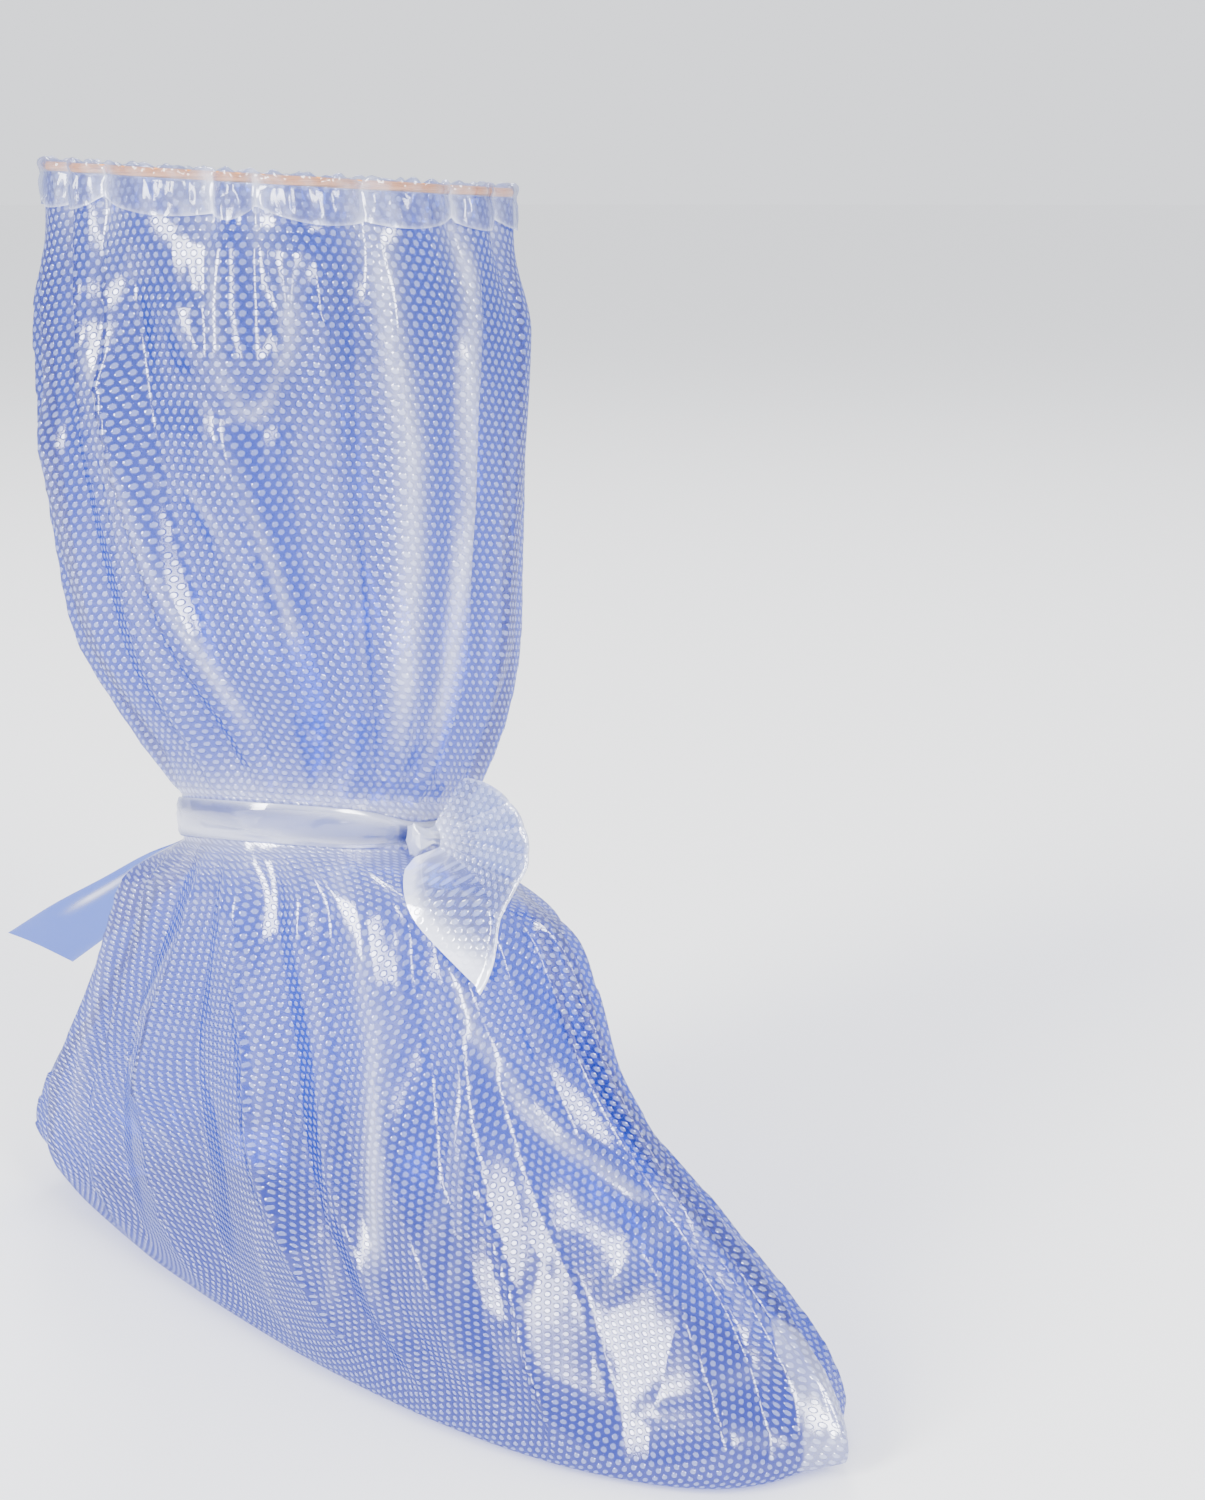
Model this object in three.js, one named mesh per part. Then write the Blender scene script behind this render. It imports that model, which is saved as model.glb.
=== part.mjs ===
// A tall see-through shoe cover of embossed film, as it stands when it is worn.
// Sizes are in millimetres. +X points to the toe, +Y to the cover's own left and +Z up.
// The origin is on the sole's underside, below the shaft's axis.
import * as THREE from 'three';

// Driving sizes of the bag
const rimHeight = 370;
const tieHeight = 162;
const soleLength = 350;
const soleWidth = 116;
const ankleWidth = 93;
const ankleForward = 20;
const rimWidth = 147;
const filmTilts = { tie: 14, tieTurn: -65, rim: 4, rimTurn: -142, start: 0.2 };
const filmWall = 1;
const fitGap = 0.3;

// Casing at the mouth and the elastic inside it
const hemTall = 14;
const hemScallop = 2.5;
const hemRuffle = 4;
const hemRound = 0.7;
const channelGap = 0.4;
const elasticTall = 2.6;
const elasticThick = 1.1;

// Strap: it is bunched to the band's height round the ankle and opens out at its ends
const bandTall = 13;
const bandThick = 1.4;
const strapWidth = 29;
const strapThick = 1.2;
const knotTurn = -9;
const knotWide = 15;
const knotTall = 15;
const knotDeep = 10;
const knotLump = 0.1;
const knotGap = 0.9;
const loopReach = 44;
const loopThick = 2;
const loopClearance = 5;
const loopRipple = 1;
const tailLength = 130;
const tailTurn = 180;

// Folds
const gatherCount = 12;
const gatherDepth = 3.6;
const gatherUp = 52;
const gatherDown = 75;
const hemPleatReach = 46;

// Weld that stands out at the toe: its reach, half its spread in degrees, and in shares of the
// foot's height where it is full, where it ends and how slowly it fades
const toeWeld = { reach: 8, spread: 9, full: 0.04, top: 0.3, fade: 0.15 };

// Fineness of the faces
const around = 72;
const knotBands = 8;
const knotSides = 12;
const loopSteps = 6;
const tailColumns = 4;
const turnStep = 360 / around;

const waistBottom = tieHeight - bandTall / 2;
const waistTop = tieHeight + bandTall / 2;
const hemBottom = rimHeight - hemTall;

// Sections of the foot from the sole up to the band. Rise is a share of that height, the
// lengths back, widest and front are shares of the sole's length ahead of the origin, and
// half is a share of the sole's width. A power of 2 is an ellipse, below it comes to a point.
const footSections = [
  // rise, back, widest, front, half, frontPower, backPower
  [0.0, -0.27, 0.27, 0.6, 0.42, 2.3, 2.6],
  [0.02, -0.297, 0.27, 0.613, 0.465, 2.3, 2.6],
  [0.06, -0.33, 0.26, 0.62, 0.49, 2.2, 2.6],
  [0.13, -0.36, 0.24, 0.61, 0.49, 1.95, 2.6],
  [0.22, -0.35, 0.19, 0.586, 0.48, 1.72, 2.4],
  [0.35, -0.305, 0.15, 0.532, 0.475, 1.45, 2.3],
  [0.48, -0.252, 0.12, 0.468, 0.465, 1.4, 2.2],
  [0.64, -0.206, 0.105, 0.405, 0.45, 1.35, 2.1],
  [0.8, -0.166, 0.09, 0.37, 0.44, 1.4, 2.0],
  [0.91, -0.135, 0.08, 0.335, 0.425, 1.5, 2.0],
  [0.97, -0.095, 0.065, 0.255, 0.41, 1.75, 2.0],
];

// Width of the sole along its length: it is narrow at the heel and full at the ball
const soleTaper = [
  // share of the length ahead of the origin, share of the width
  [-0.37, 0.7], [-0.21, 0.75], [-0.07, 0.83], [0.03, 0.89], [0.15, 0.96], [0.28, 1.0], [0.64, 1.0],
];
const taperTop = 0.55;

// Sections of the shaft from the band up to the rim. Rise is a share of that height, and the
// lengths centre, halfLong and half are shares of the rim's width.
const shaftSections = [
  // rise, centre, halfLong, half
  [0.06, 0.12, 0.345, 0.34],
  [0.16, 0.1, 0.4, 0.395],
  [0.28, 0.07, 0.445, 0.44],
  [0.44, 0.055, 0.465, 0.46],
  [0.62, 0.05, 0.48, 0.475],
  [0.78, 0.05, 0.49, 0.48],
  [0.9, 0.055, 0.485, 0.48],
  [1.0, 0.06, 0.475, 0.475],
];

// Turns in degrees at which the mouth is pinched between its ruffles
const pleatTurns = [-165, -150, -125, -105, -90, -60, -50, -25, 0, 20, 45, 70, 95, 120, 145, 175];

// Folds that run down the film. Turns are in degrees, rises count the foot as 0 to 1 and the
// shaft as 1 to 2, and depth and width are in shares of the ankle's width. Below 0 is a crease.
// A fold fades over shares of its own length, from a little beyond either of its ends.
const foldFade = { beyondTop: 0.05, top: 0.2, beyondLow: 0.1, low: 0.35 };
const folds = [
  // turn and rise of the top end, turn and rise of the lower end, depth, width
  [-58, 1.99, -52, 1.74, 0.06, 0.055],
  [-42, 1.99, -50, 1.72, 0.06, 0.055],
  [-69, 1.89, -55, 1.7, 0.05, 0.06],
  [-89, 1.8, -66, 1.18, 0.075, 0.07],
  [-62, 1.74, -47, 1.1, 0.07, 0.07],
  [-5, 1.99, -13, 1.1, 0.08, 0.11],
  [-113, 1.7, -95, 1.1, 0.06, 0.08],
  [30, 1.95, 22, 1.15, 0.06, 0.09],
  [76, 1.8, 62, 1.1, 0.065, 0.09],
  [118, 1.9, 108, 1.2, 0.07, 0.09],
  [160, 1.75, 150, 1.1, 0.065, 0.09],
  [-150, 1.9, -138, 1.15, 0.06, 0.09],
  [-84, 0.96, -116, 0.4, 0.06, 0.08],
  [-67, 0.96, -98, 0.12, 0.065, 0.08],
  [-47, 0.96, -76, 0.1, 0.07, 0.08],
  [-30, 0.9, -64, 0.12, 0.055, 0.07],
  [-44, 0.94, -20, 0.42, -0.07, 0.08],
  [32, 0.94, 20, 0.42, -0.07, 0.08],
  [60, 0.96, 76, 0.1, 0.065, 0.08],
  [95, 0.96, 104, 0.12, 0.06, 0.08],
  [-140, 0.96, -155, 0.25, 0.05, 0.09],
  [140, 0.96, 152, 0.25, 0.05, 0.09],
];

function degrees(turn) {
  return turn * Math.PI / 180;
}

function mix(from, to, share) {
  return from + (to - from) * share;
}

function smooth(share) {
  const held = Math.min(1, Math.max(0, share));
  return held * held * (3 - 2 * held);
}

// Value of a column of rows at a rise, on a smooth curve through the rows
function column(rows, rise, index) {
  let row = 0;
  while (row < rows.length - 2 && rise > rows[row + 1][0]) {
    row += 1;
  }
  const start = rows[row];
  const end = rows[row + 1];
  const before = rows[Math.max(0, row - 1)];
  const after = rows[Math.min(rows.length - 1, row + 2)];
  const span = end[0] - start[0];
  const share = Math.min(1, Math.max(0, (rise - start[0]) / span));
  const leave = (end[index] - before[index]) / (end[0] - before[0]) * span;
  const arrive = (after[index] - start[index]) / (after[0] - start[0]) * span;
  const square = share * share;
  const cube = square * share;
  return start[index] * (2 * cube - 3 * square + 1) + leave * (cube - 2 * square + share)
    + end[index] * (3 * square - 2 * cube) + arrive * (cube - square);
}

// All sections in millimetres: rise, back, widest, front, half, frontPower, backPower
const sections = [
  ...footSections.map(([rise, back, widest, front, half, frontPower, backPower]) => [
    rise, back * soleLength, widest * soleLength, front * soleLength, half * soleWidth,
    frontPower, backPower]),
  [1, ankleForward - ankleWidth / 2, ankleForward, ankleForward + ankleWidth / 2, ankleWidth / 2, 2, 2],
  ...shaftSections.map(([rise, centre, halfLong, half]) => [
    1 + rise, (centre - halfLong) * rimWidth, centre * rimWidth, (centre + halfLong) * rimWidth,
    half * rimWidth, 2, 2]),
];

function riseAt(height) {
  if (height < waistBottom) {
    return height / waistBottom;
  }
  return Math.min(2, 1 + Math.max(0, height - waistTop) / (hemBottom - waistTop));
}

function heightAt(rise) {
  return rise < 1 ? rise * waistBottom : mix(waistTop, hemBottom, rise - 1);
}

function sectionPoint(turn, rise) {
  const cosine = Math.cos(degrees(turn));
  const sine = Math.sin(degrees(turn));
  const widest = column(sections, rise, 2);
  const end = column(sections, rise, cosine > 0 ? 3 : 1);
  const power = 2 / column(sections, rise, cosine > 0 ? 5 : 6);
  const x = widest + (end - widest) * Math.abs(cosine) ** power;
  const taper = column(soleTaper, x / soleLength, 1);
  const half = column(sections, rise, 4) * mix(taper, 1, smooth(rise / taperTop));
  return [x, half * Math.sign(sine) * Math.abs(sine) ** power];
}

// How far the level lines of the film are lifted: the tie and the mouth both lie aslant
function tilt(turn, rise) {
  const tie = filmTilts.tie * Math.cos(degrees(turn - filmTilts.tieTurn));
  const rim = filmTilts.rim * Math.cos(degrees(turn - filmTilts.rimTurn));
  const share = (rise - filmTilts.start) / (1 - filmTilts.start);
  return rise < 1 ? tie * smooth(share) : mix(tie, rim, smooth(rise - 1));
}

function turnBetween(turn, other) {
  return Math.abs(((turn - other + 540) % 360 + 360) % 360 - 180);
}

// 0 at a pinch and 1 midway between two pinches
function ruffle(turn) {
  const held = ((turn - pleatTurns[0]) % 360 + 360) % 360 + pleatTurns[0];
  const next = pleatTurns.findIndex((pleat) => pleat > held);
  const from = pleatTurns[(next === -1 ? pleatTurns.length : next) - 1];
  const to = next === -1 ? pleatTurns[0] + 360 : pleatTurns[next];
  const share = (held - from) / (to - from);
  return 4 * share * (1 - share);
}

function foldDepth(turn, rise, radius) {
  let depth = 0;
  for (const [topTurn, topRise, lowTurn, lowRise, tall, wide] of folds) {
    const along = (topRise - rise) / (topRise - lowRise);
    const started = smooth((along + foldFade.beyondTop) / foldFade.top);
    const left = smooth((1 + foldFade.beyondLow - along) / foldFade.low);
    const aside = degrees(turnBetween(turn, mix(topTurn, lowTurn, along))) * radius;
    depth += tall * ankleWidth * started * left / (1 + (aside / (wide * ankleWidth)) ** 2);
  }
  return depth;
}

// How far the film stands out of its plain section at a turn and height
function relief(turn, height) {
  const rise = riseAt(height);
  const away = Math.max(0, waistBottom - height, height - waistTop);
  const reach = height < waistBottom ? gatherDown : gatherUp;
  const gather = Math.cos(degrees(gatherCount * turn)) * gatherDepth;
  const swell = smooth(away / bandTall) * Math.exp(-away / reach) * smooth(height / bandTall);
  const below = Math.max(0, hemBottom - height);
  const pinch = hemRuffle * (ruffle(turn) - 0.5) * Math.exp(-below / hemPleatReach);
  return gather * swell + pinch + foldDepth(turn, rise, ankleWidth / 2);
}

function seam(turn, rise) {
  const aside = Math.max(0, 1 - turnBetween(turn, 0) / toeWeld.spread);
  return toeWeld.reach * aside * smooth(rise / toeWeld.full) * smooth((toeWeld.top - rise) / toeWeld.fade);
}

// Point of the outer face of the film. Offset moves it out along its level normal.
function filmPoint(turn, height, offset = 0, withSeam = true) {
  const rise = riseAt(height);
  const [x, y] = sectionPoint(turn, rise);
  const [xNext, yNext] = sectionPoint(turn + 1, rise);
  const [xLast, yLast] = sectionPoint(turn - 1, rise);
  const length = Math.hypot(xNext - xLast, yNext - yLast);
  const normal = [(yNext - yLast) / length, -(xNext - xLast) / length];
  const out = relief(turn, height) + offset;
  const toe = withSeam ? seam(turn, rise) : 0;
  return new THREE.Vector3(x + normal[0] * out + toe, y + normal[1] * out, height + tilt(turn, rise));
}

function filmNormal(turn, height) {
  const low = Math.max(filmWall / 2, height - filmWall);
  const along = filmPoint(turn + 1, height, 0, false).sub(filmPoint(turn - 1, height, 0, false));
  const up = filmPoint(turn, height + filmWall, 0, false).sub(filmPoint(turn, low, 0, false));
  return along.cross(up).normalize();
}

const turns = Array.from({ length: around }, (_, index) => index * turnStep);

// A closed body from its points and its faces, turned so that the faces point out
function body(points, faces) {
  let volume = 0;
  for (const [a, b, c] of faces) {
    volume += points[a].dot(points[b].clone().cross(points[c]));
  }
  const index = faces.flatMap(([a, b, c]) => volume > 0 ? [a, b, c] : [a, c, b]);
  const geometry = new THREE.BufferGeometry();
  geometry.setAttribute('position', new THREE.Float32BufferAttribute(points.flatMap((p) => p.toArray()), 3));
  geometry.setIndex(index);
  geometry.computeVertexNormals();
  return geometry;
}

function quad(a, b, c, d) {
  return [[a, b, c], [a, c, d]];
}

// Rings of equally many points, joined in turn. A loop joins the last ring to the first, and
// otherwise each end is closed on its middle.
function ringBody(rings, loop) {
  const count = rings[0].length;
  const points = rings.flat();
  const faces = [];
  const last = loop ? rings.length : rings.length - 1;
  for (let ring = 0; ring < last; ring += 1) {
    const from = ring * count;
    const to = ((ring + 1) % rings.length) * count;
    for (let item = 0; item < count; item += 1) {
      const next = (item + 1) % count;
      faces.push(...quad(from + item, from + next, to + next, to + item));
    }
  }
  if (!loop) {
    for (const [ring, flipped] of [[0, true], [rings.length - 1, false]]) {
      const middle = new THREE.Vector3();
      rings[ring].forEach((point) => middle.addScaledVector(point, 1 / count));
      points.push(middle);
      for (let item = 0; item < count; item += 1) {
        const edge = [ring * count + item, ring * count + (item + 1) % count];
        faces.push(flipped ? [points.length - 1, edge[1], edge[0]] : [points.length - 1, ...edge]);
      }
    }
  }
  return body(points, faces);
}

// A sheet of one thickness about a grid of points, closed along its four edges
function sheetBody(grid, thick) {
  const rows = grid.length;
  const columns = grid[0].length;
  const within = (value, count) => Math.min(count - 1, Math.max(0, value));
  const step = (row, item) => grid[within(row, rows)][within(item, columns)];
  const rings = grid.map((line, row) => {
    const aside = line.map((point, item) => {
      const along = step(row + 1, item).clone().sub(step(row - 1, item));
      const across = step(row, item + 1).clone().sub(step(row, item - 1));
      return along.cross(across).normalize().multiplyScalar(thick / 2);
    });
    const front = line.map((point, item) => point.clone().add(aside[item]));
    const back = line.map((point, item) => point.clone().sub(aside[item]));
    return [...front, ...back.reverse()];
  });
  const count = 2 * columns;
  const faces = [];
  for (let row = 0; row < rows - 1; row += 1) {
    for (let item = 0; item < count; item += 1) {
      const next = (item + 1) % count;
      const from = row * count;
      faces.push(...quad(from + item, from + next, from + count + next, from + count + item));
    }
  }
  for (let item = 0; item < columns - 1; item += 1) {
    const end = (rows - 1) * count;
    const pair = count - 1 - item;
    faces.push(...quad(item, pair, pair - 1, item + 1));
    faces.push(...quad(end + item, end + item + 1, end + pair - 1, end + pair));
  }
  return body(rings.flat(), faces);
}

// Heights of the film's rings, closer together where the film turns or is gathered
const footRises = [0, 0.02, 0.06, 0.12, 0.2, 0.28, 0.37, 0.46, 0.55, 0.64, 0.73, 0.81, 0.88, 0.95];
const shaftRises = [1.05, 1.1, 1.16, 1.24, 1.33, 1.43, 1.53, 1.63, 1.72, 1.8, 1.87, 1.93];
const bagTop = rimHeight - filmWall - elasticTall - 2 * fitGap;

function filmBag() {
  const heights = [
    ...footRises.map(heightAt), waistBottom, waistTop, ...shaftRises.map(heightAt), hemBottom, bagTop];
  const outer = heights.map((height) => turns.map((turn) => filmPoint(turn, height)));
  const inside = heights.filter((height) => height > 2 * filmWall);
  const inner = inside.map((height) => turns.map((turn) => {
    const inset = filmNormal(turn, height).multiplyScalar(-filmWall);
    return filmPoint(turn, height, 0, false).add(inset);
  }));
  const floor = outer[0].map((point) => new THREE.Vector3(point.x, point.y, filmWall));
  inner[inner.length - 1] = turns.map((turn) => filmPoint(turn, bagTop, -filmWall));
  return ringBody([...outer, ...inner.reverse(), floor], false);
}

function topHem() {
  const middle = -filmWall / 2;
  const channel = filmWall / 2 + channelGap;
  const outside = channel + filmWall;
  const roof = rimHeight - filmWall;
  const rings = turns.map((turn) => {
    const bottom = hemBottom + hemScallop * (1 - ruffle(turn));
    const profile = [
      [outside, bottom], [outside, rimHeight - hemRound], [outside - hemRound, rimHeight],
      [hemRound - outside, rimHeight], [-outside, rimHeight - hemRound], [-outside, hemBottom],
      [-channel, hemBottom], [-channel, roof], [channel, roof], [channel, bottom],
    ];
    return profile.map(([aside, height]) => filmPoint(turn, height, middle + aside));
  });
  return ringBody(rings, true);
}

function ringBand(height, tall, inside, thick) {
  const rings = turns.map((turn) => {
    const profile = [
      [inside, -tall / 2], [inside + thick, -tall / 2], [inside + thick, tall / 2], [inside, tall / 2]];
    return profile.map(([offset, lift]) => {
      const point = filmPoint(turn, height, offset);
      point.z += lift;
      return point;
    });
  });
  return ringBody(rings, true);
}

function elasticRing() {
  const middle = -filmWall / 2 - elasticThick / 2;
  const ring = ringBand(rimHeight, elasticTall, middle, elasticThick);
  ring.translate(0, 0, -filmWall - fitGap - elasticTall / 2);
  return ring;
}

const bandOutside = fitGap + bandThick;

function strapKnot() {
  const seat = filmPoint(knotTurn, tieHeight, bandOutside + knotGap + knotDeep / 2);
  const turned = degrees(knotTurn);
  const rings = [];
  for (let ring = 1; ring < knotBands; ring += 1) {
    const lean = Math.PI * ring / knotBands;
    const points = [];
    for (let side = 0; side < knotSides; side += 1) {
      const angle = 2 * Math.PI * side / knotSides;
      const lump = 1 - knotLump + knotLump * Math.cos(3 * angle + 2 * lean);
      const deep = knotDeep / 2 * Math.sin(lean) * Math.cos(angle) * lump;
      const wide = knotWide / 2 * Math.cos(lean);
      const tall = knotTall / 2 * Math.sin(lean) * Math.sin(angle) * lump;
      points.push(new THREE.Vector3(
        seat.x + deep * Math.cos(turned) - wide * Math.sin(turned),
        seat.y + deep * Math.sin(turned) + wide * Math.cos(turned),
        seat.z + tall));
    }
    rings.push(points);
  }
  return ringBody(rings, false);
}

// The loop's rim from its lower to its upper end, about the knot. Lean is in degrees above
// level, and reach and aside, towards +Y, are shares of the loop's full reach.
const loopRim = [
  // lean, reach, aside
  [-45, 1.21, -0.45], [-32, 1.09, -0.37], [-25, 1.0, -0.32], [-17, 0.955, -0.25], [-9, 0.965, -0.18],
  [0, 0.98, -0.09], [9, 0.92, 0.0], [20, 0.84, 0.05], [33, 0.74, 0.07], [59, 0.53, 0.09],
];

// Side of the film towards -Y, at a distance ahead and a height
function nearSide(x, z) {
  const rise = riseAt(z - filmTilts.tie * smooth(riseAt(z)));
  const widest = column(sections, rise, 2);
  const front = column(sections, rise, 3);
  const power = 2 / column(sections, rise, 5);
  const ahead = Math.min(1, Math.max(0, (x - widest) / (front - widest)));
  const cosine = ahead ** (1 / power);
  return -column(sections, rise, 4) * (1 - cosine * cosine) ** (power / 2);
}

function strapLoop() {
  const knot = filmPoint(knotTurn, tieHeight, bandOutside + fitGap + knotDeep / 2);
  const start = knotWide / 2 + 2 * fitGap;
  const grid = [];
  for (let step = 0; step <= loopSteps; step += 1) {
    const share = step / loopSteps;
    grid.push(loopRim.map(([lean, reach, aside], item) => {
      const out = mix(start, loopReach * reach, share);
      const ripple = (item % 2 === 0 ? loopRipple : -loopRipple) * share;
      const x = knot.x + out * Math.cos(degrees(lean));
      const z = knot.z + out * Math.sin(degrees(lean));
      const free = knot.y + loopReach * aside * share + ripple;
      return new THREE.Vector3(x, Math.min(free, nearSide(x, z) - loopClearance), z);
    }));
  }
  return sheetBody(grid, loopThick);
}

// The tail's two edges, from the band, on which it lies, to its cut end. Behind and down are
// shares of its length, and near and far, towards -Y and +Y, of the strap's width.
const tailEdges = [
  // behind, near, down, then behind, far and down of the other edge
  [0.0, -0.22, -0.03, 0.0, 0.22, -0.03],
  [0.01, -0.22, 0.03, 0.01, 0.24, 0.03],
  [0.1, -0.2, 0.065, 0.1, 0.3, 0.08],
  [0.29, -0.17, 0.14, 0.24, 0.4, 0.19],
  [0.5, -0.16, 0.25, 0.43, 0.48, 0.33],
  [0.72, -0.14, 0.37, 0.62, 0.55, 0.46],
  [0.95, -0.12, 0.515, 0.87, 0.62, 0.635],
];
const tailFree = 0.1;

function strapTail() {
  const seat = filmPoint(tailTurn, tieHeight, bandOutside + fitGap + strapThick / 2);
  const grid = tailEdges.map(([behind, near, down, farBehind, far, farDown]) => {
    const line = [];
    for (let item = 0; item <= tailColumns; item += 1) {
      const share = item / tailColumns;
      const back = mix(behind, farBehind, share);
      const aside = mix(near, far, share) * strapWidth;
      const wrap = aside ** 2 / ankleWidth * smooth(1 - back / tailFree);
      line.push(new THREE.Vector3(
        seat.x - back * tailLength + wrap,
        seat.y + aside,
        seat.z - mix(down, farDown, share) * tailLength));
    }
    return line;
  });
  return sheetBody(grid, strapThick);
}

const clearFilm = { color: 0xcdd6ea, roughness: 0.12, metalness: 0, transparent: true, opacity: 0.45 };
const milkyFilm = { color: 0xdde2f0, roughness: 0.25, metalness: 0, transparent: true, opacity: 0.7 };
const tanElastic = { color: 0xd29a5c, roughness: 0.7, metalness: 0 };

const shoeCover = new THREE.Group();

function add(name, geometry, finish) {
  const mesh = new THREE.Mesh(geometry, new THREE.MeshStandardMaterial(finish));
  mesh.name = name;
  shoeCover.add(mesh);
}

add('film_bag', filmBag(), clearFilm);
add('top_hem', topHem(), milkyFilm);
add('elastic', elasticRing(), tanElastic);
add('ankle_band', ringBand(tieHeight, bandTall, fitGap, bandThick), milkyFilm);
add('strap_knot', strapKnot(), milkyFilm);
add('strap_loop', strapLoop(), milkyFilm);
add('strap_tail', strapTail(), milkyFilm);

export default shoeCover;
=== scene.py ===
import math

import bmesh
import bpy
import numpy as np
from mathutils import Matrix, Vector


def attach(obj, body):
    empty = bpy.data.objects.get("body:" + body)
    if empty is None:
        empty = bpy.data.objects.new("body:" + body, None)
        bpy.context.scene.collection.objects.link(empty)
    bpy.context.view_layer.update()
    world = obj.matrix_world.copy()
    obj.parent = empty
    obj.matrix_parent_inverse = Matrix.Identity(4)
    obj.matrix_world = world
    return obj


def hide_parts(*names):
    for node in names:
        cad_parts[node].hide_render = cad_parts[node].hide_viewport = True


# Looks of a tall see-through shoe cover of embossed film, as it stands when it is worn.
# The shape is worked out in millimetres and put down in metres.
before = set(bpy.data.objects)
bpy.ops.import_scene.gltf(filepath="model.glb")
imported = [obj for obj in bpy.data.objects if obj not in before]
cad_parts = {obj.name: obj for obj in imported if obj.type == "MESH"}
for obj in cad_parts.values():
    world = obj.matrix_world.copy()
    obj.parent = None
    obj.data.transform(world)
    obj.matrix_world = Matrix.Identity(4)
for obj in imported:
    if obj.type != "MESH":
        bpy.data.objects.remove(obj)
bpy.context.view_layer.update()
metre = 0.001

print("stage: camera")

view = {
    "turn": 38, "pitch": 14.4, "behind": -106, "distance": 700, "eye": 364, "lens": 52.3, "sensor": 36,
    "nearest": 10,
}


def placeCamera():
    turned = math.radians(view["turn"])
    data = bpy.data.cameras.new("photoView")
    data.lens = view["lens"]
    data.sensor_width = view["sensor"]
    data.clip_start = view["nearest"] * metre
    camera = bpy.data.objects.new("photoView", data)
    bpy.context.scene.collection.objects.link(camera)
    camera.location = Vector((
        -view["behind"] * math.cos(turned) + view["distance"] * math.sin(turned),
        -view["behind"] * math.sin(turned) - view["distance"] * math.cos(turned),
        view["eye"])) * metre
    camera.rotation_euler = (math.pi / 2 - math.radians(view["pitch"]), 0, turned)
    bpy.context.scene.camera = camera


placeCamera()


# A socket of a material's nodes, for sums written as plain expressions
class Wire:
    def __init__(self, shading, socket):
        self.shading = shading
        self.socket = socket

    def calculate(self, operation, *others):
        inputs = dict(enumerate((self, *others)))
        return self.shading.add("ShaderNodeMath", {"operation": operation}, inputs)

    def __add__(self, other):
        return self.calculate("ADD", other)

    def __sub__(self, other):
        return self.calculate("SUBTRACT", other)

    def __rsub__(self, other):
        return self.shading.add("ShaderNodeMath", {"operation": "SUBTRACT"}, {0: other, 1: self})

    def __mul__(self, other):
        return self.calculate("MULTIPLY", other)

    def __truediv__(self, other):
        return self.calculate("DIVIDE", other)

    def __pow__(self, other):
        return self.calculate("POWER", other)

    def held(self, low=0.0, high=1.0):
        return self.shading.add("ShaderNodeClamp", {}, {"Value": self, "Min": low, "Max": high})


# The nodes of one material
class Shading:
    def __init__(self, name):
        self.material = bpy.data.materials.new(name)
        self.material.use_nodes = True
        self.tree = self.material.node_tree
        self.tree.nodes.clear()

    def add(self, kind, settings, inputs, output=0):
        node = self.tree.nodes.new(kind)
        for name, value in settings.items():
            setattr(node, name, value)
        for name, value in inputs.items():
            if isinstance(value, Wire):
                self.tree.links.new(value.socket, node.inputs[name])
            else:
                node.inputs[name].default_value = value
        return Wire(self, node.outputs[output]) if len(node.outputs) else None

    def blend(self, share, first, second):
        colours = {"Factor": share, 6: first, 7: second}
        return self.add("ShaderNodeMix", {"data_type": "RGBA"}, colours, 2)


# The dot colour, lighter than the film's body, is a painted highlight on the raised dots.
filmLook = {
    "pitch": 3.0, "rowPitch": 2.3, "dotReach": 0.45, "dotRim": 0.14, "dotHeight": 0.22, "dotHighlightShare": 0.24,
    "dotsLostInMilk": 0.6, "edgeOn": 0.34, "edgeBlend": 0.35, "creaseSharpness": 5, "index": 2.4,
    "mostSeen": 0.95, "body": (0.01, 0.03, 0.20, 1), "dot": (0.24, 0.31, 0.66, 1),
    "milk": (0.74, 0.77, 0.95, 1),
}

# Each film: whether it is embossed, how much of it is seen when it is clear and where it is milky,
# how close its creases lie across and along, how high they are, its roughness and its tint
filmKinds = {
    "clearFilm": {
        "dots": True, "thin": 0.2, "milky": 0.6, "wide": 40, "tall": 14, "crumple": 0.35,
        "roughness": 0.17, "tint": (0.12, 0.22, 0.74, 1)},
    "soleFilm": {
        "dots": False, "thin": 0.2, "milky": 0.42, "wide": 20, "tall": 20, "crumple": 0.1,
        "roughness": 0.35, "tint": (0.50, 0.58, 0.90, 1)},
    "hemFilm": {
        "dots": False, "thin": 0.15, "milky": 0.5, "wide": 160, "tall": 90, "crumple": 0.4,
        "roughness": 0.18, "tint": (0.82, 0.86, 0.98, 1)},
    "strapFilm": {
        "dots": False, "thin": 0.36, "milky": 0.6, "wide": 60, "tall": 60, "crumple": 0.4,
        "roughness": 0.18, "tint": (0.55, 0.62, 0.92, 1)},
    "loopFilm": {
        "dots": True, "thin": 0.3, "milky": 0.55, "wide": 60, "tall": 60, "crumple": 0.35,
        "roughness": 0.18, "tint": (0.55, 0.62, 0.92, 1)},
    "tailFilm": {
        "dots": False, "thin": 0.2, "milky": 0.7, "wide": 30, "tall": 30, "crumple": 0.2,
        "roughness": 0.16, "tint": (0.06, 0.15, 0.70, 1)},
}


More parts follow.
